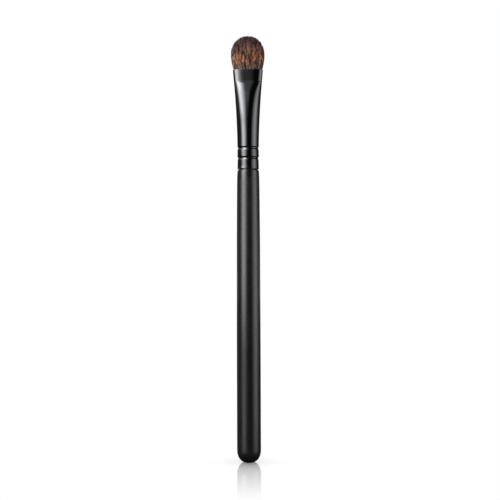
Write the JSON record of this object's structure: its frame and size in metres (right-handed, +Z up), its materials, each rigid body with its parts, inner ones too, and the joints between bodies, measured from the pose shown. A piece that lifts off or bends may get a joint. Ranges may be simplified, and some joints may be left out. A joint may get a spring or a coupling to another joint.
{
  "type": "eye makeup brush",
  "caption": "Flat domed eye shadow brush: a knot of brown hair in a pressed black metal ferrule on a turned, black lacquered wooden handle.",
  "frame": {"origin": "centre of the small flat foot at the handle's butt end, the lowest point of the standing brush", "axes": "+Z up the brush's own axis, from the butt end to the tip of the hair; +X across the wide side of the flat head; +Y through its thin side, so a viewer looking along +Y sees the head's broad face"},
  "size_m": [0.0129, 0.0092, 0.1648],
  "materials": {
    "black_lacquer": "satin black lacquer over turned hardwood",
    "black_metal": "high gloss black on drawn metal tube",
    "brown_hair": "natural hair, dark tips over tan and chestnut, soft sheen",
    "waxed_thread": "waxed binding thread",
    "amber_resin": "cast resin, glossy"
  },
  "bodies": {
    "root": {"handle": "black_lacquer", "ferrule": "black_metal", "hair_tuft": "brown_hair", "root_binding": "waxed_thread", "resin_plug": "amber_resin"}
  },
  "joints": []
}
